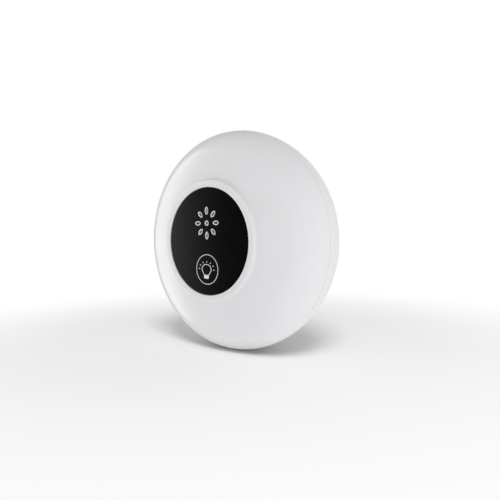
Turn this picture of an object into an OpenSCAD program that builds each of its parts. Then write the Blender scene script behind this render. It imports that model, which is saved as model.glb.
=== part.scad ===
// Plug-in ultrasonic pest repeller with a night light.
// A turned, milky housing in two shells carries a gloss panel with a petal grille and a round
// light button. Behind them sit the ultrasonic emitter, a light board and a power board.
// Two flat plug blades in the rear face hold the whole part in a wall socket.
//
// The pieces are drawn on the bench: x to the right, y up, z from the wall to the front,
// with z = 0 on the flat rear face. in_room() stands them up, so that the front looks along -Y.

/* [Housing] */
// Diameter of the body at the parting line
body_d = 90; // [84:1:110]
// Depth of the rear cover, which is also the radius of its rounded back
rear_depth = 25; // [23:0.5:32]
// Crest of the front dome above the parting line
dome_rise = 17.4; // [15:0.2:20]
// Radius of the shoulder between the rim and the dome
shoulder_r = 13; // [9:0.5:14]
// Wall of both shells
wall = 2; // [1.6:0.1:3]
// Width of the fine groove along the parting line
seam_w = 0.15; // [0.1:0.05:0.6]
// Depth of the fine groove along the parting line
seam_depth = 0.2; // [0.1:0.05:0.6]
// Height of the rear cover's tongue inside the front rim
tongue_h = 2; // [1:0.25:3]
// Thickness of that tongue
tongue_t = 1.2; // [0.8:0.1:1.6]
// Room between the tongue and the front rim
tongue_gap = 0.4; // [0.3:0.05:0.8]

/* [Bezel and panel] */
// Outer diameter of the raised ring round the panel
bezel_d = 48.4; // [46:0.2:56]
// Height of that ring above the dome at its foot
bezel_rise = 1.8; // [1.4:0.05:3]
// Radius along the ring's outer edge
bezel_edge_r = 1.1; // [0.3:0.1:1.2]
// Radius of the fillet at the ring's foot
bezel_foot_r = 0.6; // [0.2:0.1:0.8]
// Chamfer along the ring's inner edge
bezel_inner_edge = 0.2; // [0.1:0.05:0.4]
// Diameter of the gloss panel
panel_d = 42; // [41:0.2:44]
// Thickness of the gloss panel
panel_t = 1.2; // [0.8:0.1:1.6]
// Chamfer along the panel's front edge
panel_edge = 0.2; // [0.1:0.05:0.4]
// Depth of the panel's face below the ring
panel_sink = 0.2; // [0:0.05:0.6]
// Gap between the panel and the ring
panel_gap = 0.15; // [0.1:0.05:0.4]
// Thickness of the adhesive ring under the panel
tape_t = 0.2; // [0.1:0.05:0.5]
// Width of the adhesive ring
tape_w = 1.8; // [1:0.1:2]
// Distance from the panel's edge to the adhesive ring
tape_inset = 0.3; // [0.1:0.1:0.5]
// Thickness of the front shell behind the panel
floor_t = 1.8; // [1.4:0.1:2.6]

/* [Sound grille] */
// Height of the grille's centre above the body's axis
grille_up = 7.1; // [6.6:0.1:8.5]
// Number of petals
petal_count = 8; // [6:1:9]
// Radius of the circle through the middles of the petals
petal_ring_r = 4.85; // [4.4:0.05:5.4]
// Length of a petal in the panel
petal_len = 3.3; // [2.4:0.1:4]
// Width of a petal in the panel
petal_w = 2; // [1.4:0.1:2.6]
// Length taken off each pointed end of a petal by its blunt tip
petal_blunt = 0.35; // [0.1:0.05:0.6]
// Diameter of the hole in the middle
grille_hole_d = 2.3; // [1.8:0.1:3]
// Wall of the shell's raised rim inside every opening of the panel
rim_t = 0.4; // [0.3:0.05:0.5]
// Gap between a raised rim and the panel
rim_gap = 0.1; // [0.05:0.05:0.2]
// Depth of a raised rim below the panel's face
rim_sink = 0.1; // [0:0.05:0.4]
// Thickness of the dust mesh behind the slots
mesh_t = 0.3; // [0.2:0.1:0.6]

/* [Light button] */
// Distance of the button's centre below the body's axis
button_down = 11; // [10.6:0.1:11.4]
// Diameter of the button's face
button_d = 12.2; // [10:0.1:12.6]
// Gap round the button's face, and round its lip
button_gap = 0.15; // [0.1:0.05:0.3]
// How far the button's lip reaches behind the panel
button_lip = 0.7; // [0.4:0.1:0.8]
// Thickness of the lip
button_lip_t = 1.2; // [0.8:0.1:1.4]
// Room between the lip and the back of the panel
button_lip_gap = 0.1; // [0.05:0.05:0.2]
// Chamfer along the edge of the button's face
button_edge = 0.2; // [0.1:0.05:0.4]
// Diameter of the button's stem
button_stem_d = 4.4; // [3:0.2:6]
// Travel of the button
button_travel = 0.5; // [0.3:0.05:0.8]
// Side of the square switch under the button
switch_w = 6; // [5:0.5:7]
// Height of the switch's case
switch_h = 3.5; // [3:0.1:4]
// Diameter of the switch's plunger
plunger_d = 3.5; // [2.5:0.1:4]
// Length of the plunger in front of the case
plunger_out = 1.6; // [1:0.1:2.2]
// Length of the plunger inside the case
plunger_in = 1; // [0.6:0.1:1.2]
// Room round and under the plunger
plunger_gap = 0.2; // [0.1:0.05:0.4]

/* [Ultrasonic emitter] */
// Outer diameter of the emitter's can
can_d = 16; // [14.4:0.2:16.4]
// Height of the can
can_h = 7.6; // [7:0.1:9]
// Wall of the can
can_t = 0.4; // [0.3:0.05:0.6]
// Width of the can's rolled front lip
can_lip = 1; // [0.6:0.1:1.6]
// Room between the can and the dust mesh
can_gap = 0.2; // [0.1:0.05:0.5]
// Thickness of the emitter's base
base_t = 1.6; // [1.2:0.1:2]
// Diameter of the piezo disc
piezo_d = 9; // [8:0.2:11]
// Thickness of the piezo disc
piezo_t = 0.7; // [0.4:0.1:1]
// Height of the soft seat under the piezo disc
piezo_seat_h = 1.2; // [0.8:0.1:1.6]
// Width of the soft seat under the piezo disc
piezo_seat_w = 1; // [0.6:0.1:1.4]
// Diameter of the cone's mouth
cone_d = 11; // [9:0.2:12.4]
// Diameter of the cone's foot on the piezo disc
cone_foot_d = 3; // [2.4:0.2:4]
// Height of the cone
cone_h = 2.2; // [1.6:0.1:2.6]
// Thickness of the cone
cone_t = 0.3; // [0.2:0.05:0.5]
// Distance between the emitter's two pins
emitter_pitch = 6; // [4:0.5:8]
// Diameter of an emitter pin
emitter_pin_d = 0.8; // [0.6:0.1:1]
// Thickness of the gasket round the can
gasket_t = 0.7; // [0.5:0.1:0.8]
// Height of the gasket round the can
gasket_h = 2.4; // [1.6:0.1:2.8]
// Wall of the shell's collar round the gasket
collar_t = 1.2; // [1:0.1:1.6]
// Height of that collar
collar_h = 3; // [2:0.1:3.6]

/* [Boards] */
// Thickness of both boards
board_t = 1.6; // [1:0.1:2]
// Gap between a board's edge and the screw tubes
board_gap = 0.4; // [0.3:0.1:1]
// Distance from a board's edge to the middle of its screws
post_margin = 5; // [4:0.25:6]
// Diameter of the posts that carry the boards
post_d = 5.2; // [4.4:0.2:6]
// Number of lamps round the light board
led_count = 9; // [3:3:9]
// Distance from the board's edge to the middle of the lamps
led_margin = 4; // [3:0.25:5]
// Length, width and height of a lamp
led_size = [3.5, 2.8, 0.8];
// Diameter of the lamp's window
led_window_d = 2.2; // [1.6:0.1:2.6]
// Height of the lamp's window above its body
led_window_h = 0.2; // [0.1:0.05:0.4]
// Number of pins that join the boards
link_count = 4; // [2:1:6]
// Distance between those pins
link_pitch = 2.54; // [2:0.01:3]
// Side of a square pin
link_pin_w = 0.64; // [0.5:0.02:0.8]
// Height and depth of the pins' carrier
link_block = 2.5; // [2:0.1:3]
// Length of a pin beyond each board
pin_stub = 0.9; // [0.5:0.1:1]
// Room round a pin in its hole
pin_gap = 0.05; // [0.02:0.01:0.15]

/* [Power parts] */
// Width, depth and height of the film capacitor
film_size = [18, 7, 12];
// Chamfer along the film capacitor's upright edges
film_edge = 0.6; // [0.2:0.1:1]
// Diameter of the filter capacitor
filter_d = 10; // [8:0.5:10.5]
// Height of the filter capacitor
filter_h = 12; // [9:0.5:13]
// Radius of the groove and of the top edge of its can
filter_groove_r = 0.4; // [0.2:0.05:0.6]
// Height of that groove above the board
filter_groove_at = 2.4; // [1.5:0.1:4]
// Diameter of the choke's flanges
choke_d = 9; // [7:0.5:10]
// Height of the choke
choke_h = 9; // [7:0.5:11]
// Thickness of a flange of the choke
choke_flange_t = 1.4; // [1:0.1:2]
// Diameter of the choke's core inside its winding
choke_core_d = 4; // [3:0.5:5]
// Depth of the winding below the flanges' edge
choke_inset = 0.6; // [0.3:0.1:1]
// Diameter of the varistor
varistor_d = 9; // [7:0.5:10]
// Thickness of the varistor
varistor_t = 3.5; // [2.5:0.1:4]
// Length of the fusible resistor's body
fuse_len = 9; // [7:0.5:10]
// Diameter of the fusible resistor's ends
fuse_d = 3.6; // [3.2:0.1:4]
// Diameter of its waist
fuse_waist_d = 3; // [2.4:0.1:3.1]
// Length of each thicker end
fuse_end_len = 2.2; // [1.5:0.1:3]
// Distance between the feet of its two leads
fuse_span = 14; // [12:0.5:15]
// Diameter of the leads of the power parts
lead_d = 0.8; // [0.6:0.05:1]
// Clearance of raised parts above the board
lead_rise = 1.5; // [1:0.1:2.5]
// Length, width and height of the rectifier
bridge_size = [8.5, 6.5, 3];
// Width and thickness of its legs
bridge_leg = [1.2, 0.3];
// Length, width and height of the control chip
chip_size = [8.7, 4, 1.6];
// Width and thickness of its legs
chip_leg = [0.42, 0.2];
// Number of legs along each side of the chip
chip_legs = 7; // [4:1:8]
// Diameter of a transistor
transistor_d = 4.6; // [4:0.1:5]
// Height of a transistor
transistor_h = 4.6; // [4:0.1:5.5]
// Distance from the transistor's axis to its flat
transistor_flat = 0.8; // [0.6:0.1:1.6]
// Distance between the transistor's legs
transistor_pitch = 1.27; // [1:0.01:1.4]
// Diameter of the transistor's legs
transistor_leg_d = 0.45; // [0.3:0.05:0.6]
// Length, width and height of a chip resistor
resistor_size = [2, 1.25, 0.6];
// Number of chip resistors in a row
resistor_count = 4; // [2:1:4]
// Distance between chip resistors
resistor_pitch = 3; // [2.4:0.1:3.4]

/* [Plug] */
// Distance between the middles of the blades
blade_pitch = 12.7; // [12:0.1:14]
// Width of a blade
blade_w = 6.35; // [5:0.05:7]
// Thickness of a blade
blade_t = 1.52; // [1.2:0.02:2]
// Length of a blade outside the rear face
blade_len = 17; // [14:0.5:20]
// Chamfer at the tip of a blade
blade_tip = 1.2; // [0.6:0.1:1.8]
// Diameter of the hole in a blade
blade_hole_d = 3.2; // [2:0.1:3.6]
// Distance from the rear face to that hole
blade_hole_at = 11.9; // [8:0.1:12]
// Width of the shoulders that stop a blade from being pulled out
shoulder_w = 9; // [8:0.2:10]
// Height of those shoulders
shoulder_h = 1.8; // [1.2:0.1:2.4]
// Width of the tail that takes the wire
tail_w = 4.6; // [3:0.1:5.4]
// Length of the tail above the clamp
tail_len = 3; // [2.4:0.1:4]
// Room round a blade in the cover and the clamp
blade_gap = 0.05; // [0.02:0.01:0.15]
// Thickness of the rear face where the blades pass
pad_t = 4.5; // [4:0.1:6]
// Diameter of that thick pad
pad_d = 28; // [26.6:0.2:30]
// Thickness of the clamp over the shoulders
clamp_t = 3.5; // [3:0.1:4.5]
// Diameter of the clamp
clamp_d = 26; // [24:0.2:26.4]
// Distance of the clamp's screws from the axis
clamp_screw_at = 9.5; // [7.5:0.1:10]
// Room between the blades' tails and the power board
tail_gap = 1; // [0.6:0.1:2]
// Diameter of the wires from the blades to the power board
wire_d = 1.6; // [1.2:0.1:2]
// Straight length of those wires
wire_run = 4; // [2:0.25:6]

/* [Fasteners] */
// Distance from the inner wall to the middle of the housing screws
boss_inset = 8; // [6:0.25:9]
// Diameter of the front shell's screw bosses
boss_d = 6.4; // [5:0.2:7]
// Wall of the rear cover's screw tubes round the heads
tube_t = 0.8; // [0.6:0.1:1.2]
// Gap between a boss and its tube
boss_gap = 0.3; // [0.1:0.05:0.6]
// Thickness of the ribs that tie bosses and tubes to the wall
rib_t = 1.2; // [0.8:0.1:1.6]
// Distance of those ribs from the tongue
rib_gap = 1; // [0.5:0.25:2]
// Thread diameter of the housing screws
screw_d = 2.8; // [2.4:0.1:3.2]
// Length of the housing screws under the head
screw_len = 15; // [12:0.5:16]
// Part of that length inside the rear cover
screw_grip = 8; // [6:0.5:9]
// Head diameter of the housing screws
head_d = 5.2; // [4.6:0.1:5.6]
// Head height of the housing screws
head_h = 2; // [1.4:0.1:2.4]
// Room round a screw's head and under its tip
head_gap = 0.2; // [0.1:0.05:0.4]
// Thread diameter of the screws in the boards and the clamp
small_screw_d = 2.4; // [2:0.1:2.6]
// Length of those screws under the head
small_screw_len = 5.5; // [5:0.25:6]
// Head diameter of those screws
small_head_d = 4.6; // [4:0.1:5]
// Head height of those screws
small_head_h = 1.5; // [1:0.1:1.8]
// Room round a thread in a passing hole
pass_gap = 0.2; // [0.1:0.05:0.3]
// Room round a thread in its pilot hole
thread_gap = 0.02; // [0.01:0.01:0.05]

/* [Layout of the power board] */
// Middle of the film capacitor
film_at = [0, 20];
// Middle of the filter capacitor
filter_at = [-14, 1];
// Middle of the choke
choke_at = [14, 1];
// Middle of the rectifier
bridge_at = [0, 9.5];
// Middle of the varistor
varistor_at = [-15, -12];
// Middle of the fusible resistor
fuse_at = [16, -12];
// Middle of the control chip
chip_at = [0, -2];
// Middle of the two rows of chip resistors
resistor_rows = [[0, 3], [0, -7.5]];
// Middle of the right transistor, which the left one mirrors
transistor_at = [4, -13];
// Middle of the pins that join the boards
link_at = [0, -19];

/* [Hidden] */
$fn = 96;

// Overlap that makes a cut pass a face, and a joined piece enter its wall
over = 1;
// The shoulder stands this far proud of its tangent point, so that the arcs cross cleanly
blend_lap = 0.003;
boss_angles = [90, 210, 330];
post_angles = [30, 150, 270];

// Turned outline of the housing
body_r = body_d / 2;
z_part = rear_depth;
shoulder_at = body_r - shoulder_r;
crown_r = (body_r * body_r - 2 * body_r * shoulder_r + dome_rise * dome_rise)
    / (2 * (dome_rise - shoulder_r));
crown_z = z_part + dome_rise - crown_r;
flat_r = body_r - rear_depth;
rim_r = body_r - wall;
tongue_r = rim_r - tongue_gap;
function dome_z(r) = crown_z + sqrt(crown_r * crown_r - r * r);
function tangent_at(inset) =
    shoulder_at * (1 + (shoulder_r - inset) / (crown_r - shoulder_r));

// Levels from the panel inwards
bezel_r = bezel_d / 2;
panel_r = panel_d / 2;
z_bezel = dome_z(bezel_r) + bezel_rise;
z_panel = z_bezel - panel_sink;
z_panel_back = z_panel - panel_t;
z_seat = z_panel_back - tape_t;
z_floor = z_seat - floor_t;
z_mesh = z_floor - mesh_t;
z_can = z_mesh - can_gap;
z_light = z_can - can_h;
z_light_back = z_light - board_t;
z_base = z_light + base_t;
z_piezo = z_base + piezo_seat_h;
z_cone = z_piezo + piezo_t;

// Light button and its switch
button_r = button_d / 2;
lip_r = button_r + button_lip;
z_lip = z_panel_back - button_lip_gap;
z_switch = z_light + switch_h;
z_plunger = z_switch + plunger_out;

// Ultrasonic emitter
can_r = can_d / 2;
gasket_r = can_r + gasket_t;
collar_r = gasket_r + thread_gap;

// Levels from the rear face inwards
z_clamp = pad_t + clamp_t;
z_tail = z_clamp + tail_len;
z_power = z_tail + tail_gap;
z_power_top = z_power + board_t;

// Screws, posts and boards
tube_r = head_d / 2 + head_gap + tube_t;
boss_ring_r = rim_r - boss_inset;
board_r = boss_ring_r - max(tube_r, boss_d / 2) - board_gap;
post_ring_r = board_r - post_margin;
led_ring_r = board_r - led_margin;
z_grip = z_part - screw_grip;
z_screw_tip = z_grip + screw_len;

// Placing helpers
module in_room() rotate([90, 0, 0]) children();
module at(place, z = 0) translate([place[0], place[1], z]) children();
module at_grille() at([0, grille_up]) children();
module at_button() at([0, -button_down]) children();
module at_angles(angles, r) for (a = angles) rotate(a) translate([r, 0, 0]) children();
module both_sides() {
    children();
    mirror([1, 0, 0]) children();
}

// Shape helpers, each between two levels
module disc(r, low, high) translate([0, 0, low]) cylinder(r = r, h = high - low);
module ring(r_in, r_out, low, high) difference() {
    disc(r_out, low, high);
    disc(r_in, low - over, high + over);
}
module block(width, depth, low, high)
    translate([-width / 2, -depth / 2, low]) cube([width, depth, high - low]);
module chamfered_disc(r, edge, low, high) {
    disc(r, low, high - edge);
    translate([0, 0, high - edge]) cylinder(r1 = r, r2 = r - edge, h = edge);
}
module turned_rod(r, length) rotate([0, 90, 0]) cylinder(r = r, h = length, center = true);

// Pan-head screw with its head's bearing face on z = 0 and its shank along -z
module pan_screw(d, length, head, height) {
    disc(d / 2, -length, height / 2);
    disc(head / 2, 0, height / 2);
    translate([0, 0, height / 2]) cylinder(r1 = head / 2, r2 = head / 3, h = height / 2);
}
module small_screw() pan_screw(small_screw_d, small_screw_len, small_head_d, small_head_h);
module small_pilot(z) disc(small_screw_d / 2 + thread_gap, z - small_screw_len - head_gap, z + over);

// Half section of the front dome as a solid, all round smaller by inset
module dome_half(inset) {
    intersection() {
        translate([0, crown_z]) circle(crown_r - inset);
        translate([0, z_part]) square([tangent_at(inset), dome_rise]);
    }
    intersection() {
        translate([shoulder_at, z_part]) circle(shoulder_r - inset + blend_lap);
        translate([0, z_part]) square([body_r + over, dome_rise]);
    }
}

// Half section of the rear cover as a solid, all round smaller by inset
module rear_half(inset) {
    translate([0, inset]) square([flat_r, z_part - inset]);
    intersection() {
        translate([flat_r, z_part]) circle(rear_depth - inset);
        translate([flat_r, inset]) square([rear_depth, z_part - inset]);
    }
}

module bezel_half() {
    translate([0, z_part]) square([bezel_r - bezel_edge_r, z_bezel - z_part]);
    translate([0, z_part]) square([bezel_r, z_bezel - bezel_edge_r - z_part]);
    translate([bezel_r - bezel_edge_r, z_bezel - bezel_edge_r]) circle(bezel_edge_r);
}

// Hollow fillet from the ring's wall to the dome, no higher than that wall
module bezel_foot_half() {
    foot_r = min(bezel_foot_r, bezel_rise - bezel_edge_r);
    centre_r = bezel_r + foot_r;
    centre_z = crown_z + sqrt(pow(crown_r + foot_r, 2) - pow(centre_r, 2));
    touch_r = centre_r * crown_r / (crown_r + foot_r);
    difference() {
        translate([bezel_r - foot_r, z_part]) square([touch_r - bezel_r + foot_r, centre_z - z_part]);
        translate([centre_r, centre_z]) circle(foot_r - blend_lap);
    }
}

// Room for the panel, wider at the ring's chamfered inner edge
module seat_half() {
    seat_r = panel_r + panel_gap;
    translate([0, z_seat]) square([seat_r, dome_rise]);
    translate([0, z_bezel]) polygon([
        [0, -bezel_inner_edge],
        [seat_r, -bezel_inner_edge],
        [seat_r + bezel_inner_edge + over, over],
        [0, over]
    ]);
}

// The groove is cut half from each rim
module seam_half() {
    translate([body_r - seam_depth, z_part - seam_w / 2]) square([seam_depth + over, seam_w]);
}

module front_half_section() difference() {
    union() {
        dome_half(0);
        bezel_half();
        bezel_foot_half();
    }
    difference() {
        dome_half(wall);
        translate([0, z_floor]) square([bezel_r, floor_t + wall]);
    }
    seat_half();
    seam_half();
}

module rear_half_section() {
    difference() {
        rear_half(0);
        difference() {
            rear_half(wall);
            translate([tongue_r - tongue_t, z_part - tongue_h]) square([tongue_t + wall, tongue_h]);
        }
        seam_half();
    }
    translate([tongue_r - tongue_t, z_part - tongue_h]) square([tongue_t, 2 * tongue_h]);
}

// Leaf between two arcs, along x, with blunt tips
module petal(length, width, height) {
    pointed_len = length + 2 * petal_blunt;
    arc_r = (pointed_len * pointed_len + width * width) / (4 * width);
    intersection() {
        translate([0, arc_r - width / 2, 0]) cylinder(r = arc_r, h = height);
        translate([0, width / 2 - arc_r, 0]) cylinder(r = arc_r, h = height);
        cylinder(r = length / 2, h = height);
    }
}

// Openings of the sound grille, all round smaller by inset
module grille_openings(inset, low, high) at_grille() {
    disc(grille_hole_d / 2 - inset, low, high);
    petal_angles = [for (i = [0:petal_count - 1]) 90 + i * 360 / petal_count];
    at_angles(petal_angles, petal_ring_r) translate([0, 0, low])
        petal(petal_len - 2 * inset, petal_w - 2 * inset, high - low);
}

// Upright rib from a boss or tube outwards into the wall
module wall_rib(low, high)
    translate([0, -rib_t / 2, low]) cube([boss_inset + wall, rib_t, high - low]);

module front_shell() color("#f2f2ef") in_room() difference() {
    union() {
        rotate_extrude() front_half_section();
        intersection() {
            union() {
                at_angles(boss_angles, boss_ring_r) {
                    disc(boss_d / 2, z_part + boss_gap, z_bezel);
                    wall_rib(z_part + tongue_h + rib_gap, z_bezel);
                }
                at_angles(post_angles, post_ring_r) disc(post_d / 2, z_light, z_bezel);
            }
            rotate_extrude() dome_half(wall / 2);
        }
        at_grille() ring(collar_r, collar_r + collar_t, z_floor - collar_h, z_floor + floor_t / 2);
        grille_openings(rim_gap, z_seat - floor_t / 2, z_panel - rim_sink);
    }
    grille_openings(rim_gap + rim_t, z_floor - over, z_panel + over);
    at_button() disc(lip_r + button_gap, z_floor - over, z_seat + over);
    at_angles(boss_angles, boss_ring_r)
        disc(screw_d / 2 + thread_gap, z_part, z_screw_tip + head_gap);
    at_angles(post_angles, post_ring_r) mirror([0, 0, 1]) small_pilot(-z_light_back);
}

module rear_cover() color("#efefec") in_room() difference() {
    union() {
        rotate_extrude() rear_half_section();
        intersection() {
            union() {
                at_angles(boss_angles, boss_ring_r) {
                    disc(tube_r, 0, z_part);
                    wall_rib(0, z_part - tongue_h - rib_gap);
                }
                at_angles(post_angles, post_ring_r) disc(post_d / 2, 0, z_power);
                disc(pad_d / 2, 0, pad_t);
            }
            rotate_extrude() rear_half(wall / 2);
        }
    }
    at_angles(boss_angles, boss_ring_r) {
        disc(head_d / 2 + head_gap, -over, z_grip);
        disc(screw_d / 2 + pass_gap, 0, z_part + over);
    }
    at_angles(post_angles, post_ring_r) small_pilot(z_power_top);
    both_sides() at([blade_pitch / 2, 0])
        block(blade_t + 2 * blade_gap, blade_w + 2 * blade_gap, -over, pad_t + over);
    for (side = [-1, 1]) at([0, side * clamp_screw_at]) small_pilot(z_clamp);
}

module front_panel() color("#141416") in_room() difference() {
    chamfered_disc(panel_r, panel_edge, z_panel_back, z_panel);
    grille_openings(0, z_panel_back - over, z_panel + over);
    at_button() disc(button_r + button_gap, z_panel_back - over, z_panel + over);
}

module panel_tape() color("#d8d4c8") in_room()
    ring(panel_r - tape_inset - tape_w, panel_r - tape_inset, z_seat, z_panel_back);

module dust_mesh() color("#b9bbbd") in_room() at_grille() disc(gasket_r, z_mesh, z_floor);

module light_button() color("#17171a") in_room() at_button() {
    chamfered_disc(button_r, button_edge, z_lip - button_lip_t, z_panel);
    disc(lip_r, z_lip - button_lip_t, z_lip);
    disc(button_stem_d / 2, z_plunger, z_lip);
}

module switch_plunger() color("#2a2a2c") in_room() at_button()
    disc(plunger_d / 2, z_switch - plunger_in, z_plunger);

module switch_case() color("#3a3b3d") in_room() at_button() difference() {
    block(switch_w, switch_w, z_light, z_switch);
    disc(plunger_d / 2 + plunger_gap, z_switch - plunger_in - button_travel - plunger_gap, z_switch + over);
}

module emitter_gasket() color("#2b2b2b") in_room() at_grille()
    ring(can_r + thread_gap, gasket_r, z_mesh - gasket_h, z_mesh);

module emitter_can() color("#b6babd") in_room() at_grille() difference() {
    disc(can_r, z_light, z_can);
    disc(can_r - can_t, z_light - over, z_can - can_t);
    disc(can_r - can_lip, z_light, z_can + over);
}

module emitter_cone() color("#c9ccce") in_room() at_grille() rotate_extrude() polygon([
    [cone_foot_d / 2 - cone_t, z_cone],
    [cone_foot_d / 2, z_cone],
    [cone_d / 2, z_cone + cone_h],
    [cone_d / 2 - cone_t, z_cone + cone_h]
]);

module piezo_disc() color("#d6cfae") in_room() at_grille() disc(piezo_d / 2, z_piezo, z_cone);

module piezo_seat() color("#ddddda") in_room() at_grille()
    ring(piezo_d / 2 - piezo_seat_w, piezo_d / 2, z_base, z_piezo);

module emitter_base() color("#1d1d1f") in_room() at_grille()
    disc(can_r - can_t - thread_gap, z_light, z_base);

module emitter_pin_places() at_grille() both_sides() at([emitter_pitch / 2, 0]) children();

module emitter_pins() color("#c8c8c4") in_room() emitter_pin_places()
    disc(emitter_pin_d / 2, z_light_back - pin_stub, z_light);

module link_places() for (i = [0:link_count - 1])
    at([link_at[0] + (i - (link_count - 1) / 2) * link_pitch, link_at[1]]) children();

// Round board with its screw holes and the holes for the link pins
module bare_board(low, high) difference() {
    disc(board_r, low, high);
    at_angles(post_angles, post_ring_r) disc(small_screw_d / 2 + pass_gap, low - over, high + over);
    link_places() disc(link_pin_w * sqrt(0.5) + pin_gap, low - over, high + over);
}

module light_board() color("#e9ece8") in_room() difference() {
    bare_board(z_light_back, z_light);
    emitter_pin_places() disc(emitter_pin_d / 2 + pin_gap, z_light_back - over, z_light + over);
}

module lamps() color("#f3e7b8") in_room() {
    led_angles = [for (i = [0:led_count - 1]) 90 + i * 360 / led_count];
    at_angles(led_angles, led_ring_r) {
        block(led_size[0], led_size[1], z_light, z_light + led_size[2]);
        disc(led_window_d / 2, z_light, z_light + led_size[2] + led_window_h);
    }
}

module link_carrier() color("#1b1b1d") in_room() difference() {
    at(link_at) block(link_count * link_pitch, link_block, z_power_top, z_power_top + link_block);
    link_places() block(
        link_pin_w + 2 * pin_gap, link_pin_w + 2 * pin_gap,
        z_power_top - over, z_power_top + link_block + over
    );
}

module link_pins() color("#d8b45a") in_room() link_places()
    block(link_pin_w, link_pin_w, z_power - pin_stub, z_light + pin_stub);

module power_board() color("#2f6b3d") in_room() bare_board(z_power, z_power_top);

module film_capacitor() color("#b8322c") in_room() at(film_at, z_power_top) {
    half = [film_size[0] / 2, film_size[1] / 2];
    linear_extrude(film_size[2]) polygon([
        for (s = [[1, 1], [-1, 1], [-1, -1], [1, -1]], first = [0, 1])
            let (along_x = first == (s[0] * s[1] > 0 ? 1 : 0))
            [s[0] * (half[0] - (along_x ? film_edge : 0)), s[1] * (half[1] - (along_x ? 0 : film_edge))]
    ]);
}

module filter_capacitor() color("#23304f") in_room() at(filter_at, z_power_top) {
    difference() {
        chamfered_disc(filter_d / 2, filter_groove_r, 0, filter_h);
        rotate_extrude() translate([filter_d / 2, filter_groove_at]) circle(filter_groove_r);
    }
}

module choke_core() color("#3c3d40") in_room() at(choke_at, z_power_top) {
    disc(choke_d / 2, 0, choke_flange_t);
    disc(choke_core_d / 2, 0, choke_h);
    disc(choke_d / 2, choke_h - choke_flange_t, choke_h);
}

module choke_winding() color("#b5672f") in_room() at(choke_at, z_power_top)
    ring(choke_core_d / 2 + thread_gap, choke_d / 2 - choke_inset, choke_flange_t, choke_h - choke_flange_t);

module varistor() color("#3466a8") in_room() at(varistor_at, z_power_top) {
    edge_r = varistor_t / 2;
    translate([0, 0, lead_rise + varistor_d / 2]) rotate([90, 0, 0]) rotate_extrude() {
        translate([0, -edge_r]) square([varistor_d / 2 - edge_r, varistor_t]);
        intersection() {
            translate([varistor_d / 2 - edge_r, 0]) circle(edge_r);
            translate([varistor_d / 2 - edge_r, -edge_r]) square([edge_r, varistor_t]);
        }
    }
    both_sides() at([varistor_d / 4, 0]) disc(lead_d / 2, 0, lead_rise + varistor_d / 4);
}

module fusible_resistor() color("#5d7f9c") in_room() at(fuse_at, z_power_top) {
    axis_z = lead_rise + fuse_d / 2;
    translate([0, 0, axis_z]) {
        turned_rod(fuse_waist_d / 2, fuse_len - fuse_end_len);
        both_sides() translate([(fuse_len - fuse_end_len) / 2, 0, 0]) turned_rod(fuse_d / 2, fuse_end_len);
        turned_rod(lead_d / 2, fuse_span);
        both_sides() translate([fuse_span / 2, 0, 0]) sphere(d = lead_d);
    }
    both_sides() at([fuse_span / 2, 0]) disc(lead_d / 2, 0, axis_z);
}

// Moulded body with a row of flat legs along both long sides
module legged_body(size, leg, legs) {
    leg_t = leg[1];
    foot = size[2] / 2;
    block(size[0], size[1], leg_t, size[2]);
    for (i = [0:legs - 1]) translate([(i - (legs - 1) / 2) * size[0] / legs, 0, 0]) {
        block(leg[0], size[1] + 2 * foot, 0, leg_t);
        block(leg[0], size[1] + 2 * leg_t, 0, foot);
    }
}

module rectifier() color("#202124") in_room() at(bridge_at, z_power_top)
    legged_body(bridge_size, bridge_leg, 2);

module control_chip() color("#1c1d20") in_room() at(chip_at, z_power_top)
    legged_body(chip_size, chip_leg, chip_legs);

module transistors() color("#232326") in_room() both_sides() at(transistor_at, z_power_top) {
    difference() {
        disc(transistor_d / 2, lead_rise, lead_rise + transistor_h);
        translate([0, -transistor_flat - transistor_d / 2, 0])
            block(2 * transistor_d, transistor_d, 0, lead_rise + transistor_h + over);
    }
    for (i = [-1:1]) at([i * transistor_pitch, 0]) disc(transistor_leg_d / 2, 0, lead_rise + over);
}

module chip_resistors() color("#3a3a3c") in_room() for (row = resistor_rows, i = [0:resistor_count - 1])
    at([row[0] + (i - (resistor_count - 1) / 2) * resistor_pitch, row[1]], z_power_top)
        block(resistor_size[0], resistor_size[1], 0, resistor_size[2]);

// Blade with its chamfered tip, its shoulders on the pad and the tail that takes the wire
module blade() difference() {
    rotate([90, 0, 90]) linear_extrude(blade_t, center = true) {
        outline = [
            [blade_w / 2 - blade_tip, -blade_len],
            [blade_w / 2, blade_tip - blade_len],
            [blade_w / 2, pad_t],
            [shoulder_w / 2, pad_t],
            [shoulder_w / 2, pad_t + shoulder_h],
            [tail_w / 2, pad_t + shoulder_h],
            [tail_w / 2, z_tail]
        ];
        last = len(outline) - 1;
        polygon(concat(outline, [for (i = [0:last]) [-outline[last - i][0], outline[last - i][1]]]));
    }
    translate([0, 0, -blade_hole_at]) turned_rod(blade_hole_d / 2, blade_t + over);
}

module right_blade() color("#c9c2a6") in_room() at([blade_pitch / 2, 0]) blade();
module left_blade() color("#c9c2a6") in_room() at([-blade_pitch / 2, 0]) blade();

module blade_clamp() color("#dcdcd8") in_room() difference() {
    disc(clamp_d / 2, pad_t, z_clamp);
    both_sides() at([blade_pitch / 2, 0]) {
        slot = blade_t + 2 * blade_gap;
        block(slot, shoulder_w + 2 * blade_gap, pad_t - over, pad_t + shoulder_h);
        block(slot, tail_w + 2 * blade_gap, pad_t, z_clamp + over);
    }
    for (side = [-1, 1]) at([0, side * clamp_screw_at])
        disc(small_screw_d / 2 + pass_gap, pad_t - over, z_clamp + over);
}

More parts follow.
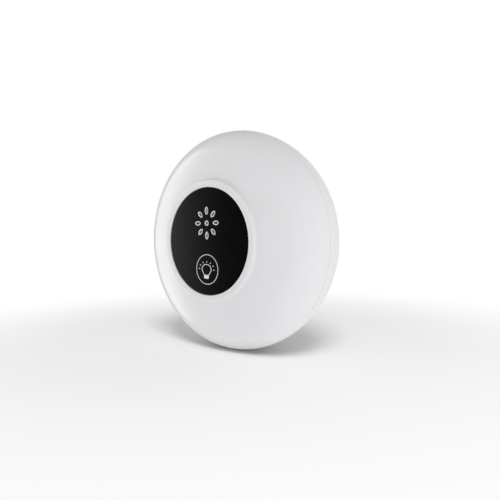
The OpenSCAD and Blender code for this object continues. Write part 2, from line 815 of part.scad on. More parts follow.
// Each wire leaves a tail sideways and bends up to the power board
module mains_wires() color("#a53a34") in_room() both_sides() {
    start = blade_pitch / 2 + blade_t / 2;
    z_wire = z_clamp + tail_len / 2;
    bend_r = z_power - z_wire;
    translate([start + wire_run / 2, 0, z_wire]) turned_rod(wire_d / 2, wire_run);
    translate([start + wire_run, 0, z_power]) rotate([90, 0, 0])
        rotate_extrude(angle = 90, start = -90) translate([bend_r, 0]) circle(wire_d / 2);
}

module clamp_screws() color("#a9adb0") in_room()
    for (side = [-1, 1]) at([0, side * clamp_screw_at], z_clamp) small_screw();

module board_screws() color("#a9adb0") in_room() at_angles(post_angles, post_ring_r) {
    translate([0, 0, z_power_top]) small_screw();
    translate([0, 0, z_light_back]) mirror([0, 0, 1]) small_screw();
}

module housing_screws() color("#a9adb0") in_room() at_angles(boss_angles, boss_ring_r)
    translate([0, 0, z_grip]) mirror([0, 0, 1]) pan_screw(screw_d, screw_len, head_d, head_h);

front_shell();
rear_cover();
front_panel();
panel_tape();
dust_mesh();
light_button();
switch_plunger();
switch_case();
emitter_gasket();
emitter_can();
emitter_cone();
piezo_disc();
piezo_seat();
emitter_base();
emitter_pins();
light_board();
lamps();
link_carrier();
link_pins();
power_board();
film_capacitor();
filter_capacitor();
choke_core();
choke_winding();
varistor();
fusible_resistor();
rectifier();
control_chip();
transistors();
chip_resistors();
left_blade();
right_blade();
blade_clamp();
mains_wires();
clamp_screws();
board_screws();
housing_screws();
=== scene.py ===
# %% [markdown]
# # A plug-in pest repeller with a night light
# The real object is a milky white housing, round like a bun and made of two shells that meet at
# the widest ring. A gloss black panel sits in a raised ring on the front. It has a grille of
# eight petals above and a round light button below. Two flat blades at the back go into a socket.
#
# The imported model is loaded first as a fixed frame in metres: +Z is up, the front looks along -Y,
# and the middle of the flat rear face is the origin. Every piece made below is placed by it, so
# nothing has to be fitted by eye afterwards.

# %% Load the frame
import math

import bmesh
import bpy
from mathutils import Matrix, Quaternion, Vector


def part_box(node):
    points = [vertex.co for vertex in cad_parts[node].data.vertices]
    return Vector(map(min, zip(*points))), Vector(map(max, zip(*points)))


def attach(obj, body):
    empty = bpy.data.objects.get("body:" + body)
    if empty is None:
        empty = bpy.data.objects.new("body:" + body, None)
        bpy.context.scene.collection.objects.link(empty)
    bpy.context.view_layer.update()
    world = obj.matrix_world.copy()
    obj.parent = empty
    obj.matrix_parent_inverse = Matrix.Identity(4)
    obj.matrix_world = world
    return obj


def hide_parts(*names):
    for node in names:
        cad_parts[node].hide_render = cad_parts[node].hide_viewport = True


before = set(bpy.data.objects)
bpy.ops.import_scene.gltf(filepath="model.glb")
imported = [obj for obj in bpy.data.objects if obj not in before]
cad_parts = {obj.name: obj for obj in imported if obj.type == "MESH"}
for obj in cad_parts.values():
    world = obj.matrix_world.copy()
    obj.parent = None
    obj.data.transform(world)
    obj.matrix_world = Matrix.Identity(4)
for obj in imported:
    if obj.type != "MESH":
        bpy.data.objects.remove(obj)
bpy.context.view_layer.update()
mm = 0.001

# %% [markdown]
# ## The camera
# The outline of the body, the rim of the panel, the petals and the button were measured on the
# photograph. The one camera under which the model's own points fall on all of them stands close
# by, well to the right of the front and almost level. Its lens is written as a focal length in
# pixels, because that is what such a fit gives, and turned into millimetres here.

# %% Camera of the photograph
image_side = 500
sensor_mm = 36
focal_px = 466.35
target_px = (234.74, 240.22)
seam_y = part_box("front_shell")[1].y
view_target = Vector((0, seam_y, 0))
view_distance = 194.68 * mm
view_azimuth = math.radians(40.93)
view_elevation = math.radians(1.16)
view_roll = math.radians(-0.87)
nearest_seen = 10 * mm


def direction(azimuth, elevation):
    """Unit vector out of the object: azimuth 0 is the front, and positive is to the right."""
    level = math.cos(elevation)
    return Vector((math.sin(azimuth) * level, -math.cos(azimuth) * level, math.sin(elevation)))


camera_data = bpy.data.cameras.new("photo_camera")
camera_data.sensor_width = sensor_mm
camera_data.lens = focal_px * sensor_mm / image_side
camera_data.shift_x = (image_side / 2 - target_px[0]) / image_side
camera_data.shift_y = (target_px[1] - image_side / 2) / image_side
camera_data.clip_start = nearest_seen
camera = bpy.data.objects.new("photo_camera", camera_data)
outwards = direction(view_azimuth, view_elevation)
camera.location = view_target + outwards * view_distance
camera.rotation_mode = "QUATERNION"
camera.rotation_quaternion = outwards.to_track_quat("Z", "Y") @ Quaternion((0, 0, 1), view_roll)
bpy.context.scene.collection.objects.link(camera)
bpy.context.scene.camera = camera
print("camera:", round(camera_data.lens, 2), "mm lens at", camera.location)

# %% [markdown]
# ## Nodes without much typing
# Materials and the world are graphs of nodes. A few helpers make nodes and fill their inputs: a
# socket is linked, and a plain value is written on the input itself. The graphs below then read
# from top to bottom.

# %% Helpers for shader nodes
def fill_inputs(tree, node, inputs):
    """Links the inputs that are given a socket, and writes plain values on the others."""
    for name, value in inputs.items():
        if isinstance(value, bpy.types.NodeSocket):
            tree.links.new(value, node.inputs[name])
        else:
            node.inputs[name].default_value = value


def add_node(tree, kind, inputs=None, **options):
    """One shader node with its options set and its inputs filled."""
    node = tree.nodes.new("ShaderNode" + kind)
    for option, value in options.items():
        setattr(node, option, value)
    fill_inputs(tree, node, inputs or {})
    return node


def maths(tree, operation, *values):
    """The result of one operation on numbers and sockets."""
    return add_node(tree, "Math", dict(enumerate(values)), operation=operation).outputs[0]


def mix(tree, share, first, second, kind="FLOAT"):
    """Goes from a first number or colour to a second one as the share goes from 0 to 1."""
    node = add_node(tree, "Mix", {"Factor": share, "A": first, "B": second}, data_type=kind)
    return node.outputs["Result"]


def ramp_between(tree, value, span, levels):
    """Maps a value from one span of numbers smoothly to another."""
    node = add_node(tree, "MapRange", {
        "Value": value,
        "From Min": span[0],
        "From Max": span[1],
        "To Min": levels[0],
        "To Max": levels[1],
    }, interpolation_type="SMOOTHSTEP")
    return node.outputs["Result"]


def srgb(red, green, blue):
    """A colour as a picture editor shows it, 0 to 255, as the linear values that nodes take."""
    shares = [level / 255 for level in (red, green, blue)]
    return tuple(s / 12.92 if s <= 0.04045 else ((s + 0.055) / 1.055) ** 2.4 for s in shares)


# %% [markdown]
# ## A white studio
# The object stands in a white studio with a soft shadow under it. The camera, and anything clear,
# sees a white backdrop. The room that lights the object is bright at the horizon and dimmer
# overhead, which gives the darker top edge.
#
# Shiny surfaces see cards round the object: a bright one and a dark one beside it on the left,
# between which the panel fades from dark grey to black, and dim ones on the other sides, which keep
# the panel dark from there and draw the outline against the white. Each stop below is an azimuth
# and the brightness there, and far above and below the horizon the cards count half.

# %% Room and cards
horizon_level = 0.98
overhead_level = 0.58
overhead_span = (0.0, 0.9)


def sine(degrees):
    """The height on the unit sphere of the world at an elevation in degrees."""
    return math.sin(math.radians(degrees))


card_height = (sine(10), sine(22))
card_fade = 0.5
card_stops = (
    (-180, 0.80), (-152, 0.75), (-142, 0.35), (-112, 0.35), (-94, 0.70), (-84, 1.00),
    (-55, 1.20), (-49, 1.30), (-46, 0.50), (-43, 0.10), (-39, 0.00), (-22, 0.00),
    (-9, 0.55), (12, 0.55), (30, 0.75), (75, 0.65), (95, 0.80), (180, 0.80),
)

world = bpy.data.worlds.new("white_studio")
world.use_nodes = True
bpy.context.scene.world = world
sky = world.node_tree
sky.nodes.clear()
looking = add_node(sky, "TexCoord").outputs["Generated"]
towards = add_node(sky, "SeparateXYZ", {"Vector": looking}).outputs
room_level = ramp_between(sky, towards["Z"], overhead_span, (horizon_level, overhead_level))
off_level = maths(sky, "ABSOLUTE", towards["Z"])

azimuth = maths(sky, "ARCTAN2", towards["X"], maths(sky, "MULTIPLY", towards["Y"], -1.0))
around = add_node(sky, "MapRange", {"Value": azimuth, "From Min": -math.pi, "From Max": math.pi})
cards = add_node(sky, "ValToRGB", {"Fac": around.outputs["Result"]})
stops = cards.color_ramp.elements
given_stops = len(stops)
for number, (degrees, brightness) in enumerate(card_stops):
    share = degrees / 360 + 0.5
    stop = stops[number] if number < given_stops else stops.new(share)
    stop.position = share
    stop.color = (brightness, brightness, brightness, 1)
faded = mix(sky, ramp_between(sky, off_level, card_height, (0.0, card_fade)), cards.outputs["Color"], 1.0)
print("room: horizon", horizon_level, "overhead", overhead_level, "and", len(stops), "stops of cards")

# %% [markdown]
# ## The soft box
# Shiny surfaces also see a soft box on the left, which gives the long bright crescent along the left
# shoulder. It sits a little above level, grows wider and leans forward towards its top, and is
# brighter towards both ends. A box that only shines is part of the world and not a lamp, so it
# leaves the matt light alone.

# %% Soft box
box_levels = (1.9, 2.75)
box_ends = (sine(6), sine(28))
box_top = (sine(5), sine(30))
box_azimuths = (math.radians(-77), math.radians(-73))
box_widths = (1.0, 1.3)
box_across = (math.radians(3), math.radians(14))
box_rise = sine(3.5)
box_height = (sine(25.5), sine(38))

box_azimuth = ramp_between(sky, towards["Z"], box_top, box_azimuths)
box_width = ramp_between(sky, towards["Z"], box_top, box_widths)
box_level = ramp_between(sky, off_level, box_ends, box_levels)
beside = maths(sky, "ABSOLUTE", maths(sky, "SUBTRACT", azimuth, box_azimuth))
off_side = maths(sky, "DIVIDE", beside, box_width)
off_rise = maths(sky, "ABSOLUTE", maths(sky, "SUBTRACT", towards["Z"], box_rise))
sideways = ramp_between(sky, off_side, box_across, (box_level, 0.0))
lengthways = ramp_between(sky, off_rise, box_height, (1.0, 0.0))
box = maths(sky, "MULTIPLY", sideways, lengthways)
print("soft box: level", box_levels[0], "in the middle and", box_levels[1], "at its ends")

# %% What each kind of ray sees
ray = add_node(sky, "LightPath").outputs
shine = maths(sky, "MULTIPLY_ADD", room_level, faded, box)
lit = mix(sky, ray["Is Glossy Ray"], room_level, shine)
seen = maths(sky, "MAXIMUM", ray["Is Camera Ray"], ray["Is Transmission Ray"])
backdrop = add_node(sky, "Background", {"Color": (1, 1, 1, 1), "Strength": mix(sky, seen, lit, 1.0)})
add_node(sky, "OutputWorld", {"Surface": backdrop.outputs[0]})
print("world:", len(sky.nodes), "nodes")

# %% [markdown]
# ## The floor
# The floor is a plain pale disc that the body just touches. Near the body it is matt and takes the
# soft shadow. Further out it turns into the same white as the backdrop, so that no horizon shows.
# Shiny surfaces look through it at the cards of the room, and it is clear from below.

# %% Floor disc
floor_r = 1.2
circle_sides = 96
body_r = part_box("rear_cover")[1].x
floor_z = -body_r

floor_bm = bmesh.new()
bmesh.ops.create_circle(floor_bm, cap_ends=True, segments=circle_sides, radius=floor_r)
bmesh.ops.translate(floor_bm, verts=floor_bm.verts, vec=(0, seam_y, floor_z))
floor_mesh = bpy.data.meshes.new("floor")
floor_bm.to_mesh(floor_mesh)
floor_bm.free()
floor = bpy.data.objects.new("floor", floor_mesh)
bpy.context.scene.collection.objects.link(floor)
print("floor at", round(floor_z / mm, 2), "mm")

# %% Floor finish
shadow_r = 0.06
white_r = 0.20
floor_white = 0.7

floor_finish = bpy.data.materials.new("pale_floor")
floor_finish.use_nodes = True
tree = floor_finish.node_tree
tree.nodes.clear()
spot = add_node(tree, "TexCoord").outputs["Object"]
centred = add_node(tree, "Mapping", {"Vector": spot, "Location": (0, -seam_y, -floor_z)})
away = add_node(tree, "VectorMath", {0: centred.outputs[0]}, operation="LENGTH").outputs["Value"]
near = add_node(tree, "BsdfDiffuse", {"Color": (floor_white, floor_white, floor_white, 1)})
far = add_node(tree, "Emission", {"Color": (1, 1, 1, 1), "Strength": 1.0})
clear = add_node(tree, "BsdfTransparent")
far_share = ramp_between(tree, away, (shadow_r, white_r), (0.0, 1.0))
ground = add_node(tree, "MixShader", {0: far_share, 1: near.outputs[0], 2: far.outputs[0]})
glossy = add_node(tree, "LightPath").outputs["Is Glossy Ray"]
unseen = maths(tree, "MAXIMUM", glossy, add_node(tree, "NewGeometry").outputs["Backfacing"])
shown = add_node(tree, "MixShader", {0: unseen, 1: ground.outputs[0], 2: clear.outputs[0]})
add_node(tree, "OutputMaterial", {"Surface": shown.outputs[0]})
floor_mesh.materials.append(floor_finish)
print("floor: matt to", shadow_r, "m and white from", white_r, "m")

# %% [markdown]
# ## Lamps
# A weak low strip at mid-height lifts the right side, and is left out of reflections. The lamp
# overhead is linked to the floor alone: it whitens the floor and leaves the shadow of the body on it,
# while the top of the body keeps its darker edge.

# %% Lamps
def soft_lamp(name, azimuth, elevation, distance, width, tall, power):
    """A rectangular lamp that looks at the middle of the body."""
    data = bpy.data.lights.new(name, "AREA")
    data.shape = "RECTANGLE"
    data.size = width
    data.size_y = tall
    data.energy = power
    lamp = bpy.data.objects.new(name, data)
    out = direction(math.radians(azimuth), math.radians(elevation))
    lamp.location = view_target + out * distance
    lamp.rotation_mode = "QUATERNION"
    lamp.rotation_quaternion = out.to_track_quat("Z", "Y")
    bpy.context.scene.collection.objects.link(lamp)
    print("lamp:", name, "at", azimuth, elevation, "degrees,", power, "W")
    return lamp


right_fill = soft_lamp(
    "right_fill", azimuth=80, elevation=2, distance=0.4, width=0.3, tall=0.06, power=0.19,
)
right_fill.visible_glossy = False
floor_lamp = soft_lamp(
    "floor_lamp", azimuth=42, elevation=50, distance=0.8, width=0.3, tall=0.3, power=4.8,
)
lit_by_floor_lamp = bpy.data.collections.new("lit_by_floor_lamp")
lit_by_floor_lamp.objects.link(floor)
floor_lamp.light_linking.receiver_collection = lit_by_floor_lamp

# %% [markdown]
# ## Finishes
# The record names a slot for the finish of each piece, and the loaded model has a material of that
# name. Each one is rebuilt here from noise and bump at the scale of the real surface. Values that
# are the same all over stay on the shader's own sockets, because an exported model keeps those.

# %% Helpers for finishes
noise_span = (0.3, 0.7)


def start_finish(slot):
    """The slot's material with nothing but a fresh shader in it."""
    material = bpy.data.materials.get(slot) or bpy.data.materials.new(slot)
    material.use_nodes = True
    tree = material.node_tree
    tree.nodes.clear()
    shader = add_node(tree, "BsdfPrincipled")
    add_node(tree, "OutputMaterial", {"Surface": shader.outputs["BSDF"]})
    place = add_node(tree, "TexCoord").outputs["Object"]
    return tree, shader, place


def noise(tree, place, size, detail=2.0):
    """Cloudy noise whose patches are about as wide as size."""
    cloud = add_node(tree, "TexNoise", {"Vector": place, "Scale": 1 / size, "Detail": detail})
    return cloud.outputs["Fac"]


def tone_between(tree, share, colour, spread):
    """A colour that drifts a little darker and lighter about the one that is given."""
    dark = [c * (1 - spread) for c in colour]
    light = [c * (1 + spread) for c in colour]
    return mix(tree, share, (*dark, 1), (*light, 1), "RGBA")


def worn(tree, share, roughness, low, high):
    """A roughness that swings with noise between a low and a high share of its value."""
    return ramp_between(tree, share, noise_span, (roughness * low, min(1.0, roughness * high)))


def relief(tree, heights, depth):
    """A bump of a real depth in metres."""
    return add_node(tree, "Bump", {"Height": heights, "Distance": depth}).outputs["Normal"]


def dress(tree, shader, tone, roughness, normal, sockets):
    """Links what varies over the surface, and writes what is the same all over."""
    fill_inputs(tree, shader, {"Base Color": tone, "Roughness": roughness, "Normal": normal})
    fill_inputs(tree, shader, {name.replace("_", " "): value for name, value in sockets.items()})


# %% [markdown]
# ## Moulded plastic, resin and rubber
# Moulded and lacquered pieces share one recipe: a slow drift of tone, a roughness that varies a
# little where hands have been, and a fine grain from the mould. The shells, the panel, the button
# and the print are seen, and the rest is inside.

# %% Moulded recipe
wear_share = 1 / 3


def moulded(slot, colour, roughness, spread=0.03, patch=12 * mm, grain=0.25 * mm, depth=0.004 * mm,
            **sockets):
    """Moulded plastic, resin, ceramic or rubber, with patches of tone and a grain of a real size."""
    tree, shader, place = start_finish(slot)
    tone = tone_between(tree, noise(tree, place, patch), colour, spread)
    handled = noise(tree, place, patch * wear_share, detail=5.0)
    bumps = relief(tree, noise(tree, place, grain, detail=3.0), depth)
    dress(tree, shader, tone, worn(tree, handled, roughness, low=0.85, high=1.15), bumps, sockets)
    return tree, shader, place


# %% Moulded finishes that are seen
shell_mould = {"spread": 0.012, "patch": 30 * mm, "grain": 0.4 * mm, "depth": 0.002 * mm}
gloss_mould = {"spread": 0.10, "grain": 1.6 * mm, "depth": 0.0006 * mm, "Specular_IOR_Level": 0.2}
milky_finish = moulded(
    "milky_shell", srgb(231, 231, 233), 0.21, **shell_mould, Specular_IOR_Level=0.45,
    Subsurface_Weight=0.12, Subsurface_Scale=1.5 * mm, Subsurface_Radius=(1, 1, 1),
)
moulded("white_cover", srgb(231, 231, 232), 0.21, **shell_mould, Specular_IOR_Level=0.45)
moulded("gloss_black", srgb(11, 11, 13), 0.09, patch=14 * mm, **gloss_mould)
moulded("button_black", srgb(11, 11, 13), 0.10, patch=8 * mm, **gloss_mould)
moulded("white_ink", srgb(226, 228, 230), 0.5, 0.04, patch=1 * mm, grain=0.08 * mm, depth=0.003 * mm)
print("finishes: outer mouldings and print done")

# %% Moulded finishes inside
moulded("adhesive", srgb(216, 212, 200), 0.7, 0.05, patch=4 * mm, grain=0.3 * mm, depth=0.02 * mm)
moulded("dark_plastic", srgb(38, 38, 40), 0.45, 0.08)
moulded("black_rubber", srgb(34, 34, 34), 0.75, 0.10, patch=5 * mm, grain=0.2 * mm, depth=0.012 * mm)
moulded("piezo_ceramic", srgb(214, 207, 174), 0.55, 0.05, patch=3 * mm, grain=0.12 * mm, depth=0.006 * mm)
moulded("white_silicone", srgb(222, 222, 218), 0.5, Subsurface_Weight=0.2, Subsurface_Scale=0.5 * mm)
moulded(
    "lamp_resin", srgb(243, 231, 184), 0.2, 0.05, patch=2 * mm,
    Subsurface_Weight=0.3, Subsurface_Scale=0.4 * mm,
)
moulded("red_resin", srgb(184, 50, 44), 0.35, 0.08, patch=6 * mm, grain=0.5 * mm, depth=0.01 * mm)
moulded("blue_sleeve", srgb(35, 48, 79), 0.22, 0.06, patch=6 * mm, grain=0.8 * mm, depth=0.003 * mm)
moulded("ferrite", srgb(60, 61, 64), 0.6, 0.12, patch=2 * mm, grain=0.15 * mm, depth=0.01 * mm)
moulded("blue_resin", srgb(52, 102, 168), 0.35, 0.10, patch=3 * mm, grain=0.7 * mm, depth=0.02 * mm)
moulded("grey_lacquer", srgb(93, 127, 156), 0.35, 0.08, patch=2 * mm, grain=0.4 * mm, depth=0.01 * mm)
moulded("chip_resin", srgb(30, 31, 34), 0.55, 0.10, patch=2 * mm, grain=0.1 * mm, depth=0.006 * mm)
moulded("chip_ceramic", srgb(58, 58, 60), 0.4, 0.10, patch=1 * mm, grain=0.1 * mm, depth=0.004 * mm)
moulded("clamp_plastic", srgb(220, 220, 216), 0.5, 0.02)
moulded("wire_sleeve", srgb(165, 58, 52), 0.45, 0.06, patch=3 * mm, grain=0.4 * mm, depth=0.006 * mm)
print("finishes: inner mouldings done")

# %% [markdown]
# ## Metal
# Blades, cans, pins and screws are plated or drawn metal. Fine scratches run along the way the
# piece was drawn, so the noise is stretched along one axis, and the roughness follows it.

# %% Drawn metal
scratch_w = 0.12 * mm
scratch_depth = 0.002 * mm
scratch_stretch = 0.04
stain_patch = 4 * mm
stain_spread = 0.08


def drawn_metal(slot, colour, roughness, along):
    """Plated metal with fine scratches along one axis, which is 0, 1 or 2 for x, y or z."""
    tree, shader, place = start_finish(slot)
    stretch = [1.0, 1.0, 1.0]
    stretch[along] = scratch_stretch
    lines = add_node(tree, "Mapping", {"Vector": place, "Scale": stretch}).outputs[0]
    scratches = noise(tree, lines, scratch_w, detail=4.0)
    tone = tone_between(tree, noise(tree, place, stain_patch, detail=3.0), colour, stain_spread)
    bumps = relief(tree, scratches, scratch_depth)
    rubbed = worn(tree, scratches, roughness, low=0.8, high=1.25)
    dress(tree, shader, tone, rubbed, bumps, {"Metallic": 1.0})


drawn_metal("nickel_blade", srgb(190, 187, 180), 0.20, along=1)
drawn_metal("spun_aluminium", srgb(200, 203, 206), 0.37, along=0)
drawn_metal("tinned_pins", srgb(205, 205, 200), 0.20, along=1)
drawn_metal("gold_pins", srgb(222, 184, 96), 0.20, along=1)
drawn_metal("zinc_steel", srgb(176, 179, 182), 0.20, along=0)
print("finishes: metal done")

# %% [markdown]
# ## Woven, wound and laminated things
# The dust mesh is a fine weave, the choke is a close winding of lacquered wire, and the boards are
# glass cloth under lacquer. Bands of a wave texture give all three: crossed for the weave and the
# cloth, and single along the axis of the choke.

# %% Bands
band_wear = 2 * mm


def bands(tree, place, pitch, axis):
    """Even bands across one axis, one for each pitch."""
    scale = math.pi / 10 / pitch
    return add_node(tree, "TexWave", {"Vector": place, "Scale": scale}, bands_direction=axis).outputs["Fac"]


def banded(slot, colour, roughness, pitch, axes, depth, spread, **sockets):
    """A surface with raised bands across one axis, or crossed bands across two."""
    tree, shader, place = start_finish(slot)
    height = bands(tree, place, pitch, axes[0])
    for axis in axes[1:]:
        height = maths(tree, "MAXIMUM", height, bands(tree, place, pitch, axis))
    tone = tone_between(tree, height, colour, spread)
    rubbed = worn(tree, noise(tree, place, band_wear, detail=3.0), roughness, low=0.8, high=1.2)
    dress(tree, shader, tone, rubbed, relief(tree, height, depth), sockets)


banded("grey_mesh", srgb(150, 152, 154), 0.6, pitch=0.3 * mm, axes="XZ", depth=0.08 * mm, spread=0.35)
banded(
    "copper_wire", srgb(181, 103, 47), 0.37, pitch=0.5 * mm, axes="Y", depth=0.2 * mm, spread=0.25,
    Metallic=0.8,
)
banded("green_board", srgb(47, 107, 61), 0.37, pitch=0.5 * mm, axes="XZ", depth=0.01 * mm, spread=0.06)
banded("white_board", srgb(233, 236, 232), 0.37, pitch=0.5 * mm, axes="XZ", depth=0.01 * mm, spread=0.02)
print("finishes: banded recipe done")

# %% [markdown]
# ## Drawing a section and turning it
# Most of the object is turned, like a pot on a wheel. The way to make such a piece is to draw half
# of its section as a chain of edges, with lines extruded from the last point and arcs spun from
# it, and then to spin the chain once round the axis. X is the distance from the axis and Y runs
# along it, from the front at -Y to the wall.

# %% Section helpers
turn_steps = 192


def verts_of(geometry):
    """The vertices among the things that an operator made."""
    return [item for item in geometry if isinstance(item, bmesh.types.BMVert)]


def line_to(bm, tip, x, y, z=0):
    """Draws on in a straight line and returns the new end."""
    tip = bmesh.ops.extrude_vert_indiv(bm, verts=[tip])["verts"][0]
    tip.co = (x, y, z)
    return tip


def spin_tip(bm, tip, centre, axis, angle, steps):
    """Draws on along an arc about an axis through a centre and returns the new end."""
    made = bmesh.ops.spin(bm, geom=[tip], cent=centre, axis=axis, angle=angle, steps=steps)
    return verts_of(made["geom_last"])[0]


def arc_by(bm, tip, centre_x, centre_y, degrees, steps):
    """Draws a section on along an arc about a centre and returns its new end."""
    return spin_tip(bm, tip, (centre_x, centre_y, 0), (0, 0, 1), math.radians(degrees), steps)


def turn(bm):
    """Spins the section once round the Y axis."""
    bmesh.ops.spin(
        bm, geom=bm.verts[:] + bm.edges[:], cent=(0, 0, 0), axis=(0, 1, 0),
        angle=math.tau, steps=turn_steps, use_merge=True,
    )


# %% [markdown]
# ## From a bmesh to a piece
# A finished bmesh becomes an object that rides on a body of the frame. Doubles are merged first, so
# that the normals can be turned outwards. Faces square to the axis are flat, all others are smooth,
# and edges that really are corners are marked sharp. Weighted normals do the rest at small rounds.

# %% Piece helper
weld_gap = 0.0005 * mm
sharp_angle = math.radians(40)
square_share = 0.99999


def close_up(bm):
    """Merges doubles and then turns all faces outwards."""
    bmesh.ops.remove_doubles(bm, verts=bm.verts, dist=weld_gap)
    bmesh.ops.recalc_face_normals(bm, faces=bm.faces)


def make_piece(bm, name, body, slot, *stands_for):
    """An object in the frame from a finished bmesh, which replaces the nodes it stands for."""
    close_up(bm)
    for face in bm.faces:
        face.smooth = abs(face.normal.y) < square_share
    for edge in bm.edges:
        edge.smooth = edge.calc_face_angle(0) < sharp_angle
    mesh = bpy.data.meshes.new(name)
    bm.to_mesh(mesh)
    bm.free()
    mesh.materials.append(bpy.data.materials[slot])
    piece = bpy.data.objects.new(name, mesh)
    bpy.context.scene.collection.objects.link(piece)
    piece.modifiers.new("flat_faces_stay_flat", "WEIGHTED_NORMAL").keep_sharp = True
    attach(piece, body)
    if stands_for:
        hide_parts(*stands_for)
    print("piece:", name, len(mesh.polygons), "faces on", body)


def move_into(bm, part, place):
    """Moves a shape to its place and adds it to another one."""
    bmesh.ops.transform(part, matrix=place, verts=part.verts)
    mesh = bpy.data.meshes.new("part")
    part.to_mesh(mesh)
    part.free()
    bm.from_mesh(mesh)
    bpy.data.meshes.remove(mesh)


# %% [markdown]
# ## Openings with soft rims
# The panel and the shell behind it share nine openings for the sound and one for the button. An
# opening is a stack of loops: one outline is drawn, and then its edges are extruded from level to
# level while the outline grows or shrinks. A petal is a leaf between two arcs with blunt tips: one
# quarter of it is spun along the small arc and the long arc, and then mirrored twice. A flat face
# with openings is filled between all the loops that lie in its plane.

# %% Outlines and rounded edges
petal_tip_r = 0.45 * mm
arc_steps = 8
tip_steps = 4
rim_steps = 4
upright = Matrix.Rotation(math.pi / 2, 4, "X")


def quarter(start, end, across_first):
    """Levels of a rounded edge, from one inset and height to another."""
    levels = []
    for step in range(rim_steps + 1):
        angle = math.pi / 2 * step / rim_steps
        quick, slow = math.sin(angle), 1 - math.cos(angle)
        across, along = (quick, slow) if across_first else (slow, quick)
        inset = start[0] + (end[0] - start[0]) * across
        levels.append((inset, start[1] + (end[1] - start[1]) * along))
    return levels


def petal_outline(bm, length, width):
    """The outline of a petal along x, about the Y axis: long arcs and small ones that touch them."""
    tip_x = length / 2 - petal_tip_r
    arc_r = (tip_x ** 2 + width ** 2 / 4 - petal_tip_r ** 2) / (width - 2 * petal_tip_r)
    arc_z = width / 2 - arc_r
    lean = math.atan2(tip_x, -arc_z)
    end = bm.verts.new((-length / 2, 0, 0))
    end = spin_tip(bm, end, (-tip_x, 0, 0), (0, 1, 0), math.pi / 2 - lean, tip_steps)
    spin_tip(bm, end, (0, 0, arc_z), (0, 1, 0), lean, arc_steps)
    for axis in "XZ":
        bmesh.ops.mirror(bm, geom=bm.verts[:] + bm.edges[:], matrix=Matrix(), merge_dist=weld_gap, axis=axis)


def round_outline(bm, length, width):
    """The outline of a round opening about the Y axis, as wide as it is long."""
    bmesh.ops.create_circle(bm, cap_ends=False, segments=circle_sides, radius=length / 2, matrix=upright)


# %% Stacks of loops
level_gap = 0.001 * mm


def add_stack(bm, outline, length, width, levels, place):
    """Adds walls that follow an outline through levels of inset and height, moved to their place."""
    stack = bmesh.new()
    outline(stack, length, width)
    verts, edges = stack.verts[:], stack.edges[:]
    long, wide, height = length, width, 0
    for number, (inset, next_height) in enumerate(levels):
        if number > 0:
            made = bmesh.ops.extrude_edge_only(stack, edges=edges)["geom"]
            verts = verts_of(made)
            edges = [item for item in made if isinstance(item, bmesh.types.BMEdge)]
            edges = [edge for edge in edges if edge.is_boundary and set(edge.verts) <= set(verts)]
        next_long, next_wide = length - 2 * inset, width - 2 * inset
        bmesh.ops.scale(stack, vec=(next_long / long, 1, next_wide / wide), verts=verts)
        bmesh.ops.translate(stack, vec=(0, next_height - height, 0), verts=verts)
        long, wide, height = next_long, next_wide, next_height
    move_into(bm, stack, place)


def fill_level(bm, height):
    """Fills the plane at one height between all open loops that lie in it."""
    edges = [
        edge for edge in bm.edges
        if len(edge.link_faces) < 2 and all(abs(vert.co.y - height) < level_gap for vert in edge.verts)
    ]
    bmesh.ops.triangle_fill(bm, use_beauty=True, edges=edges, normal=(0, -1, 0))


# %% [markdown]
# ## The front shell
# The milky front is one moulding: a dome with a rounded shoulder, a raised ring round the panel, a
# seat behind the panel and the rims of the petals, which stand up into the panel's openings. Its
# section runs from the seat over the ring, the dome and the shoulder to the groove at the seam, and
# back along the inside. Two circles that touch, the crown and the shoulder, make the dome.

# %% Sizes of the front
bezel_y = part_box("front_shell")[0].y
panel_low, panel_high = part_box("front_panel")
button_low, button_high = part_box("light_button")
wall = 2 * mm
dome_rise = 17.4 * mm
shoulder_r = 13 * mm
bezel_r = 24.2 * mm
bezel_edge_r = 1.1 * mm
bezel_foot_r = 0.6 * mm
seam_depth = 0.2 * mm
seam_half = 0.075 * mm
seam_round = 0.1 * mm
panel_gap = 0.15 * mm
tape_t = 0.2 * mm
floor_t = 1.8 * mm
seat_round = 0.2 * mm

panel_r = panel_high.x
seat_r = panel_r + panel_gap
seat_y = panel_high.y + tape_t
floor_y = seat_y + floor_t
shoulder_at = body_r - shoulder_r
crown_r = (body_r ** 2 - 2 * body_r * shoulder_r + dome_rise ** 2) / (2 * (dome_rise - shoulder_r))
crown_y = seam_y - dome_rise + crown_r
print("front: body radius", round(body_r / mm, 3), "mm, crown radius", round(crown_r / mm, 1), "mm")

